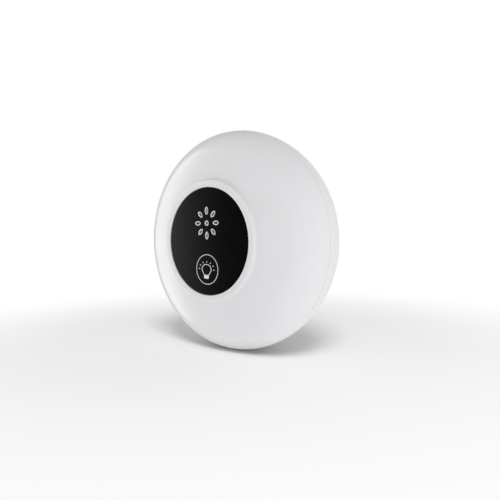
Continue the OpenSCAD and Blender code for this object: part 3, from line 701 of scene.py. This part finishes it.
# %% Skin of the front shell
def front_shell_skin():
    """The turned skin of the front shell, open where the seat and its back are filled later."""
    bm = bmesh.new()
    tip = bm.verts.new((seat_r, seat_y, 0))
    tip = line_to(bm, tip, seat_r, bezel_y + seat_round)
    tip = arc_by(bm, tip, seat_r + seat_round, bezel_y + seat_round, 90, steps=4)
    tip = line_to(bm, tip, bezel_r - bezel_edge_r, bezel_y)
    tip = arc_by(bm, tip, bezel_r - bezel_edge_r, bezel_y + bezel_edge_r, 90, steps=8)

    foot_x = bezel_r + bezel_foot_r
    foot_y = crown_y - math.sqrt((crown_r + bezel_foot_r) ** 2 - foot_x ** 2)
    foot_angle = math.degrees(math.asin(foot_x / (crown_r + bezel_foot_r)))
    tip = line_to(bm, tip, bezel_r, foot_y)
    tip = arc_by(bm, tip, foot_x, foot_y, foot_angle - 90, steps=6)

    blend_angle = math.degrees(math.asin(shoulder_at / (crown_r - shoulder_r)))
    lip_angle = math.degrees(math.asin((seam_half + seam_round) / shoulder_r))
    tip = arc_by(bm, tip, 0, crown_y, blend_angle - foot_angle, steps=14)
    tip = arc_by(bm, tip, shoulder_at, seam_y, 90 - blend_angle - lip_angle, steps=36)
    tip = arc_by(bm, tip, tip.co.x - seam_round, tip.co.y, 90, steps=3)
    tip = line_to(bm, tip, body_r - seam_depth, tip.co.y)
    tip = line_to(bm, tip, body_r - seam_depth, seam_y)
    tip = line_to(bm, tip, body_r - wall, seam_y)

    floor_angle = math.degrees(math.acos((crown_y - floor_y) / (crown_r - wall)))
    tip = arc_by(bm, tip, shoulder_at, seam_y, blend_angle - 90, steps=24)
    arc_by(bm, tip, 0, crown_y, floor_angle - blend_angle, steps=12)
    turn(bm)
    return bm


# %% Petals and the button's opening
petal_count = 8
petal_ring_r = 4.85 * mm
petal_len = 3.3 * mm
petal_w = 2.0 * mm
hole_d = 2.3 * mm
grille_z = 7.1 * mm
button_lip = 0.7 * mm
button_gap = 0.15 * mm
button_z = (button_low.z + button_high.z) / 2
lip_r = (button_high.x - button_low.x) / 2
button_r = lip_r - button_lip


def add_grille(bm, levels):
    """Adds the eight petals and the middle hole of the grille, each through the same levels."""
    middle = Matrix.Translation((0, 0, grille_z))
    add_stack(bm, round_outline, hole_d, hole_d, levels, middle)
    for number in range(petal_count):
        spoke = Matrix.Rotation(math.tau * number / petal_count, 4, "Y")
        place = middle @ spoke @ Matrix.Translation((petal_ring_r, 0, 0))
        add_stack(bm, petal_outline, petal_len, petal_w, levels, place)


def add_button_hole(bm, r, levels):
    """Adds the round opening for the button."""
    add_stack(bm, round_outline, 2 * r, 2 * r, levels, Matrix.Translation((0, 0, button_z)))


# %% Front shell with its rims
rim_gap = 0.1 * mm
rim_t = 0.4 * mm
rim_sink = 0.1 * mm
rim_round = 0.1 * mm
rim_top = panel_low.y + rim_sink
rim_inside = rim_gap + rim_t
rim_levels = [
    (rim_gap, seat_y),
    *quarter((rim_gap, rim_top + rim_round), (rim_gap + rim_round, rim_top), False),
    *quarter((rim_inside - rim_round, rim_top), (rim_inside, rim_top + rim_round), True),
    (rim_inside, floor_y),
]
shell_bm = front_shell_skin()
add_grille(shell_bm, rim_levels)
add_button_hole(shell_bm, lip_r + button_gap, [(0, seat_y), (0, floor_y)])
fill_level(shell_bm, seat_y)
fill_level(shell_bm, floor_y)
make_piece(shell_bm, "milky_front", "housing", "milky_shell", "front_shell")

# %% [markdown]
# ## Painted shade in the slots
# The slots are painted darker than the rims round them: a painted shade stands in for the shade
# that falls on their walls. The finish of the shell gets a second, dark colour that comes in with
# the depth below the rims, and only in the round of the grille.

# %% Painted shade on the walls of the slots
# Painted shade: a dark colour that grows with the depth below the rims, inside the grille.
slot_shade_colour = srgb(64, 64, 66)
slot_shade_share = 0.72
shade_from = 0.1 * mm
shade_full = 0.7 * mm
shade_fade = 0.5 * mm
grille_r = petal_ring_r + petal_len / 2

tree, shader, place = milky_finish
unshaded_tone = shader.inputs["Base Color"].links[0].from_socket
depth = add_node(tree, "SeparateXYZ", {"Vector": place}).outputs["Y"]
from_middle = add_node(tree, "Mapping", {
    "Vector": place,
    "Location": (0, 0, -grille_z),
    "Scale": (1, 0, 1),
}).outputs[0]
out_r = add_node(tree, "VectorMath", {0: from_middle}, operation="LENGTH").outputs["Value"]
deep = ramp_between(tree, depth, (rim_top + shade_from, rim_top + shade_full), (0.0, slot_shade_share))
in_grille = ramp_between(tree, out_r, (grille_r, grille_r + shade_fade), (1.0, 0.0))
painted_shade = maths(tree, "MULTIPLY", deep, in_grille)
shaded_tone = mix(tree, painted_shade, unshaded_tone, (*slot_shade_colour, 1), "RGBA")
tree.links.new(shaded_tone, shader.inputs["Base Color"])
print("finish: dust in the slots, full at", round(shade_full / mm, 2), "mm below the rims")

# %% [markdown]
# ## The gloss panel
# The panel is a thin black plate with polished edges. Its outer edge and the rims of its openings
# are rounded over, and those small rounds catch the light as thin lines.

# %% Panel
panel_edge = 0.2 * mm
opening_round = 0.12 * mm
panel_levels = [
    *quarter((panel_edge, panel_low.y), (0, panel_low.y + panel_edge), True),
    (0, panel_high.y),
]
opening_levels = [
    *quarter((-opening_round, panel_low.y), (0, panel_low.y + opening_round), True),
    (0, panel_high.y),
]

panel_bm = bmesh.new()
add_stack(panel_bm, round_outline, 2 * panel_r, 2 * panel_r, panel_levels, Matrix())
add_grille(panel_bm, opening_levels)
add_button_hole(panel_bm, button_r + button_gap, opening_levels)
fill_level(panel_bm, panel_low.y)
fill_level(panel_bm, panel_high.y)
make_piece(panel_bm, "gloss_panel", "housing", "gloss_black", "front_panel")

# %% [markdown]
# ## The light button
# The button is turned: a round face flush with the panel, a lip that keeps it behind the panel and
# a stem down to the switch.

# %% Button
button_edge = 0.2 * mm
lip_gap = 0.1 * mm
lip_t = 1.2 * mm
lip_front = panel_high.y + lip_gap
stem_r = 2.2 * mm

button_bm = bmesh.new()
tip = button_bm.verts.new((0, button_low.y, 0))
tip = line_to(button_bm, tip, button_r - button_edge, button_low.y)
tip = arc_by(button_bm, tip, button_r - button_edge, button_low.y + button_edge, 90, steps=5)
tip = line_to(button_bm, tip, button_r, lip_front)
tip = line_to(button_bm, tip, lip_r, lip_front)
tip = line_to(button_bm, tip, lip_r, lip_front + lip_t)
tip = line_to(button_bm, tip, stem_r, lip_front + lip_t)
tip = line_to(button_bm, tip, stem_r, button_high.y)
line_to(button_bm, tip, 0, button_high.y)
turn(button_bm)
bmesh.ops.translate(button_bm, verts=button_bm.verts, vec=(0, 0, button_z))
make_piece(button_bm, "round_button", "button", "button_black", "light_button")

# %% [markdown]
# ## The print on the button
# A thin white ring and a bulb with rays are printed on the button's face. The print is real
# geometry, a few hundredths of a millimetre thick, so that it shows without a picture, and it rides
# on the button. It is drawn flat from bands and rounded plates, and then all of it is thickened.

# %% Print helpers
line_w = 0.25 * mm
line_end = 0.45
plate_steps = 4


def thicken(bm, by):
    """Extrudes all faces of a flat shape by a vector."""
    raised = bmesh.ops.extrude_face_region(bm, geom=bm.faces[:])["geom"]
    bmesh.ops.translate(bm, vec=by, verts=verts_of(raised))


def add_band(bm, r, sweep, steps):
    """Adds a flat band as wide as a line along an arc, its middle at the top."""
    inner = bm.verts.new((0, 0, r - line_w / 2))
    outer = bm.verts.new((0, 0, r + line_w / 2))
    edge = bm.edges.new((inner, outer))
    start = Matrix.Rotation(-sweep / 2, 3, "Y")
    bmesh.ops.rotate(bm, cent=(0, 0, 0), matrix=start, verts=[inner, outer])
    bmesh.ops.spin(
        bm, geom=[inner, outer, edge], cent=(0, 0, 0), axis=(0, 1, 0), angle=sweep, steps=steps,
        use_merge=math.isclose(sweep, math.tau),
    )


def add_plate(bm, width, tall, rounding, place):
    """Adds a flat rounded plate."""
    plate = bmesh.new()
    bmesh.ops.create_grid(plate, x_segments=1, y_segments=1, size=0.5, matrix=upright)
    bmesh.ops.scale(plate, vec=(width, 1, tall), verts=plate.verts)
    bmesh.ops.bevel(
        plate, geom=plate.verts[:], offset=rounding, segments=plate_steps, profile=0.5,
        affect="VERTICES", material=-1,
    )
    move_into(bm, plate, place)


def add_bar(bm, start, end, width):
    """Adds a straight printed line with round ends."""
    along = end - start
    turned = Matrix.Rotation(-math.atan2(along.z, along.x), 4, "Y")
    place = Matrix.Translation((start + end) / 2) @ turned
    add_plate(bm, along.length + width, width, width * line_end, place)


# %% Bulb
bulb_r = 1.9 * mm
bulb_taper = math.radians(36)
bulb_wide = 1.3
bulb_z = 0.05 * mm
neck_x = 0.95 * mm
neck_z = -2.15 * mm
cap_h = 1.5 * mm
cap_past = 0.1 * mm
cap_round = 0.45 * mm

ink_bm = bmesh.new()
add_band(ink_bm, bulb_r, math.pi + 2 * bulb_taper, steps=48)
bulb_side = Vector((bulb_r * math.cos(bulb_taper), 0, -bulb_r * math.sin(bulb_taper)))
neck = Vector((neck_x, 0, neck_z - bulb_z))
for side in (1, -1):
    flip = Vector((side, 1, 1))
    add_bar(ink_bm, bulb_side * flip, neck * flip, line_w)
cap_place = Matrix.Translation((0, 0, neck.z - cap_h / 2))
add_plate(ink_bm, 2 * neck_x + cap_past, cap_h, cap_round, cap_place)
bmesh.ops.scale(ink_bm, vec=(bulb_wide, 1, 1), verts=ink_bm.verts)
print("print: bulb", round(2 * bulb_r * bulb_wide / mm, 2), "mm wide")

# %% Rays and ring
ray_count = 7
ray_step = math.radians(30)
ray_r = 2.9 * mm
ray_wide = 1.36
ray_len = 0.2 * mm
ray_w = 0.34 * mm
bulb_x = -0.27 * mm
bulb_lean = math.radians(3)
ring_r = 5.77 * mm
ink_t = 0.03 * mm
ink_sunk = 0.01 * mm

for number in range(ray_count):
    angle = (number - (ray_count - 1) / 2) * ray_step
    ray_line = Vector((ray_wide * math.sin(angle), 0, math.cos(angle)))
    add_bar(ink_bm, ray_line * (ray_r - ray_len / 2), ray_line * (ray_r + ray_len / 2), ray_w)
leaning = Matrix.Rotation(bulb_lean, 3, "Y")
bmesh.ops.rotate(ink_bm, cent=(0, 0, 0), matrix=leaning, verts=ink_bm.verts)
bmesh.ops.translate(ink_bm, vec=(bulb_x, 0, bulb_z), verts=ink_bm.verts)
add_band(ink_bm, ring_r, math.tau, steps=128)
close_up(ink_bm)
thicken(ink_bm, (0, -ink_t, 0))
bmesh.ops.translate(ink_bm, vec=(0, button_low.y + ink_sunk, button_z), verts=ink_bm.verts)
make_piece(ink_bm, "printed_bulb", "button", "white_ink")

# %% [markdown]
# ## Joining and cutting
# The rear cover has screw tubes and slots that no turned section can have. Such shapes are made as
# on a bench: a closed shape is joined with another or cut by it. A Boolean modifier does this, and
# its result goes back into a bmesh, so that no modifier and no tool stays in the scene.

# %% Boolean helper
rod_sides = 64


def loose_object(bm, name):
    """A plain object from a closed bmesh, for use as a tool."""
    close_up(bm)
    mesh = bpy.data.meshes.new(name)
    bm.to_mesh(mesh)
    bm.free()
    thing = bpy.data.objects.new(name, mesh)
    bpy.context.scene.collection.objects.link(thing)
    return thing


def combine(bm, tool_bm, operation):
    """The union, difference or intersection of two closed shapes, as a new bmesh."""
    base = loose_object(bm, "base")
    tool = loose_object(tool_bm, "tool")
    change = base.modifiers.new("combine", "BOOLEAN")
    change.operation = operation
    change.object = tool
    result = bmesh.new()
    result.from_object(base, bpy.context.evaluated_depsgraph_get())
    for thing in (base, tool):
        bpy.data.meshes.remove(thing.data)
    return result


def add_rod(bm, r, start, end, place):
    """Adds a closed rod along the Y axis between two heights, moved to its place."""
    middle = Matrix.Translation((0, (start + end) / 2, 0))
    bmesh.ops.create_cone(
        bm, cap_ends=True, segments=rod_sides, radius1=r, radius2=r, depth=abs(end - start),
        matrix=place @ middle @ upright,
    )


def add_block(bm, size, place):
    """Adds a closed block of a size about a place."""
    bmesh.ops.create_cube(bm, size=1, matrix=place @ Matrix.Diagonal((*size, 1)))


# %% [markdown]
# ## The rear cover
# The rear cover is turned like the front: a flat back, a wide round shoulder, a rim that meets the
# front shell and a tongue that centres it. Three tubes for the screws are joined to it from inside,
# trimmed by a second turned shape so that they end within the wall. Then the screw holes and the
# two slots for the blades are cut.

# %% Section of the rear cover
rear_depth = -seam_y
flat_r = body_r - rear_depth
tongue_h = 2 * mm
tongue_t = 1.2 * mm
tongue_gap = 0.4 * mm
tongue_r = body_r - wall - tongue_gap


def rear_solid(inset):
    """The rear cover as a solid turned shape, all round smaller by the inset."""
    bm = bmesh.new()
    tip = bm.verts.new((0, -inset, 0))
    tip = line_to(bm, tip, flat_r, -inset)
    tip = arc_by(bm, tip, flat_r, seam_y, -90, steps=36)
    line_to(bm, tip, 0, seam_y)
    turn(bm)
    return bm


def rear_skin():
    """The turned rear cover with its wall, rim and tongue."""
    bm = bmesh.new()
    lip_angle = math.degrees(math.asin((seam_half + seam_round) / rear_depth))
    tip = bm.verts.new((0, 0, 0))
    tip = line_to(bm, tip, flat_r, 0)
    tip = arc_by(bm, tip, flat_r, seam_y, lip_angle - 90, steps=48)
    tip = arc_by(bm, tip, tip.co.x - seam_round, tip.co.y, -90, steps=3)
    tip = line_to(bm, tip, body_r - seam_depth, tip.co.y)
    tip = line_to(bm, tip, body_r - seam_depth, seam_y)
    tip = line_to(bm, tip, tongue_r, seam_y)
    tip = line_to(bm, tip, tongue_r, seam_y - tongue_h)
    tip = line_to(bm, tip, tongue_r - tongue_t, seam_y - tongue_h)
    tip = line_to(bm, tip, tongue_r - tongue_t, seam_y + tongue_h)
    inner_r = rear_depth - wall
    tip = line_to(bm, tip, flat_r + math.sqrt(inner_r ** 2 - tongue_h ** 2), seam_y + tongue_h)
    tip = arc_by(bm, tip, flat_r, seam_y, 90 - math.degrees(math.asin(tongue_h / inner_r)), steps=36)
    line_to(bm, tip, 0, -wall)
    turn(bm)
    return bm


# %% Rear cover with its screw tubes and slots
boss_ring_r = 35 * mm
boss_angles = (90, 210, 330)
head_d = 5.2 * mm
head_gap = 0.2 * mm
tube_t = 0.8 * mm
screw_grip = 8 * mm
grip_y = seam_y + screw_grip
blade_pitch = 12.7 * mm
blade_w = 6.35 * mm
blade_t = 1.52 * mm
blade_gap = 0.05 * mm
cut_past = 1 * mm
hole_r = head_d / 2 + head_gap
slot_size = (blade_t + 2 * blade_gap, 2 * wall + 2 * cut_past, blade_w + 2 * blade_gap)


def boss_place(degrees):
    """Where a screw stands, by its angle about the axis of the body."""
    angle = math.radians(degrees)
    return Matrix.Translation((boss_ring_r * math.cos(angle), 0, boss_ring_r * math.sin(angle)))


tubes_bm = bmesh.new()
holes_bm = bmesh.new()
for degrees in boss_angles:
    add_rod(tubes_bm, hole_r + tube_t, cut_past, seam_y, boss_place(degrees))
    add_rod(holes_bm, hole_r, cut_past, grip_y, boss_place(degrees))
for side in (-1, 1):
    add_block(holes_bm, slot_size, Matrix.Translation((side * blade_pitch / 2, 0, 0)))
tubes_bm = combine(tubes_bm, rear_solid(wall / 2), "INTERSECT")
cover_bm = combine(rear_skin(), tubes_bm, "UNION")
cover_bm = combine(cover_bm, holes_bm, "DIFFERENCE")
make_piece(cover_bm, "rear_shell", "housing", "white_cover", "rear_cover")

# %% [markdown]
# ## Screws in the back
# The screws sit deep in their tubes. Each is turned from a half section with a low round head, and
# a cross is cut into the head for the screwdriver. No two stop at the same angle when they are
# driven in, so each is turned by a share of its own place round the body.

# %% Screws
head_h = 2 * mm
head_crown = 0.7 * mm
screw_d = 2.8 * mm
screw_len = 15 * mm
point_len = 1.5 * mm
cross_w = 0.8 * mm
cross_len = 2.8 * mm
cross_depth = 1.2 * mm
stop_share = 1 / 7


def screw_shape():
    """One screw along the Y axis, its head towards the back."""
    head_r = head_d / 2
    crown = (head_r ** 2 + head_crown ** 2) / (2 * head_crown)
    top = grip_y + head_h
    bm = bmesh.new()
    tip = bm.verts.new((0, top, 0))
    tip = arc_by(bm, tip, 0, top - crown, -math.degrees(math.asin(head_r / crown)), steps=8)
    tip = line_to(bm, tip, head_r, grip_y)
    tip = line_to(bm, tip, screw_d / 2, grip_y)
    tip = line_to(bm, tip, screw_d / 2, grip_y - screw_len + point_len)
    line_to(bm, tip, 0, grip_y - screw_len)
    turn(bm)
    for cross_x, cross_z in ((cross_len, cross_w), (cross_w, cross_len)):
        cross_bm = bmesh.new()
        add_block(cross_bm, (cross_x, 2 * cross_depth, cross_z), Matrix.Translation((0, top, 0)))
        bm = combine(bm, cross_bm, "DIFFERENCE")
    return bm


screws_bm = bmesh.new()
for degrees in boss_angles:
    stopped = Matrix.Rotation(math.radians(degrees * stop_share), 4, "Y")
    move_into(screws_bm, screw_shape(), boss_place(degrees) @ stopped)
make_piece(screws_bm, "cross_screws", "housing", "zinc_steel", "housing_screws")

# %% [markdown]
# ## The blades
# A blade is stamped from strip: half of its outline is drawn, with a chamfered tip, the shoulders
# that hold it behind the cover and a narrow tail for the wire. The half is mirrored, filled and
# thickened, the edges are bevelled, and the hole is cut last.

# %% Sizes of the blades
blade_tip = 1.2 * mm
blade_hole_d = 3.2 * mm
blade_hole_at = 11.9 * mm
blade_edge = 0.18 * mm
blade_edge_steps = 3
stop_w = 9 * mm
stop_h = 1.8 * mm
tail_w = 4.6 * mm
pad_t = 4.5 * mm
blade_low, blade_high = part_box("left_blade")
half_outline = (
    (blade_high.y, blade_w / 2 - blade_tip),
    (blade_high.y - blade_tip, blade_w / 2),
    (-pad_t, blade_w / 2),
    (-pad_t, stop_w / 2),
    (-pad_t - stop_h, stop_w / 2),
    (-pad_t - stop_h, tail_w / 2),
    (blade_low.y, tail_w / 2),
)
print("blade:", round((blade_high.y - blade_low.y) / mm, 2), "mm from tail to tip")

# %% Blades
def blade_shape(middle_x):
    """One blade, its width along z, about a place on the x axis."""
    bm = bmesh.new()
    left_face = middle_x - blade_t / 2
    tip = bm.verts.new((left_face, *half_outline[0]))
    for y, z in half_outline[1:]:
        tip = line_to(bm, tip, left_face, y, z)
    bmesh.ops.mirror(bm, geom=bm.verts[:] + bm.edges[:], matrix=Matrix(), merge_dist=weld_gap, axis="Z")
    loose_ends = [vert for vert in bm.verts if len(vert.link_edges) == 1]
    for y in (blade_low.y, blade_high.y):
        bm.edges.new([vert for vert in loose_ends if abs(vert.co.y - y) < level_gap])
    bmesh.ops.contextual_create(bm, geom=bm.edges[:])
    thicken(bm, (blade_t, 0, 0))
    bmesh.ops.recalc_face_normals(bm, faces=bm.faces)
    bmesh.ops.bevel(
        bm, geom=bm.edges[:], offset=blade_edge, segments=blade_edge_steps, profile=0.5,
        affect="EDGES", material=-1,
    )
    hole_bm = bmesh.new()
    across = Matrix.Translation((middle_x, blade_hole_at, 0)) @ Matrix.Rotation(math.pi / 2, 4, "Z")
    add_rod(hole_bm, blade_hole_d / 2, -blade_t, blade_t, across)
    return combine(bm, hole_bm, "DIFFERENCE")


for name, node, side in (("bevelled_left", "left_blade", -1), ("bevelled_right", "right_blade", 1)):
    make_piece(blade_shape(side * blade_pitch / 2), name, "housing", "nickel_blade", node)

# %% [markdown]
# ## The end
# The last line sets the view transform to Standard.

# %% View transform
bpy.context.scene.view_settings.view_transform = "Standard"
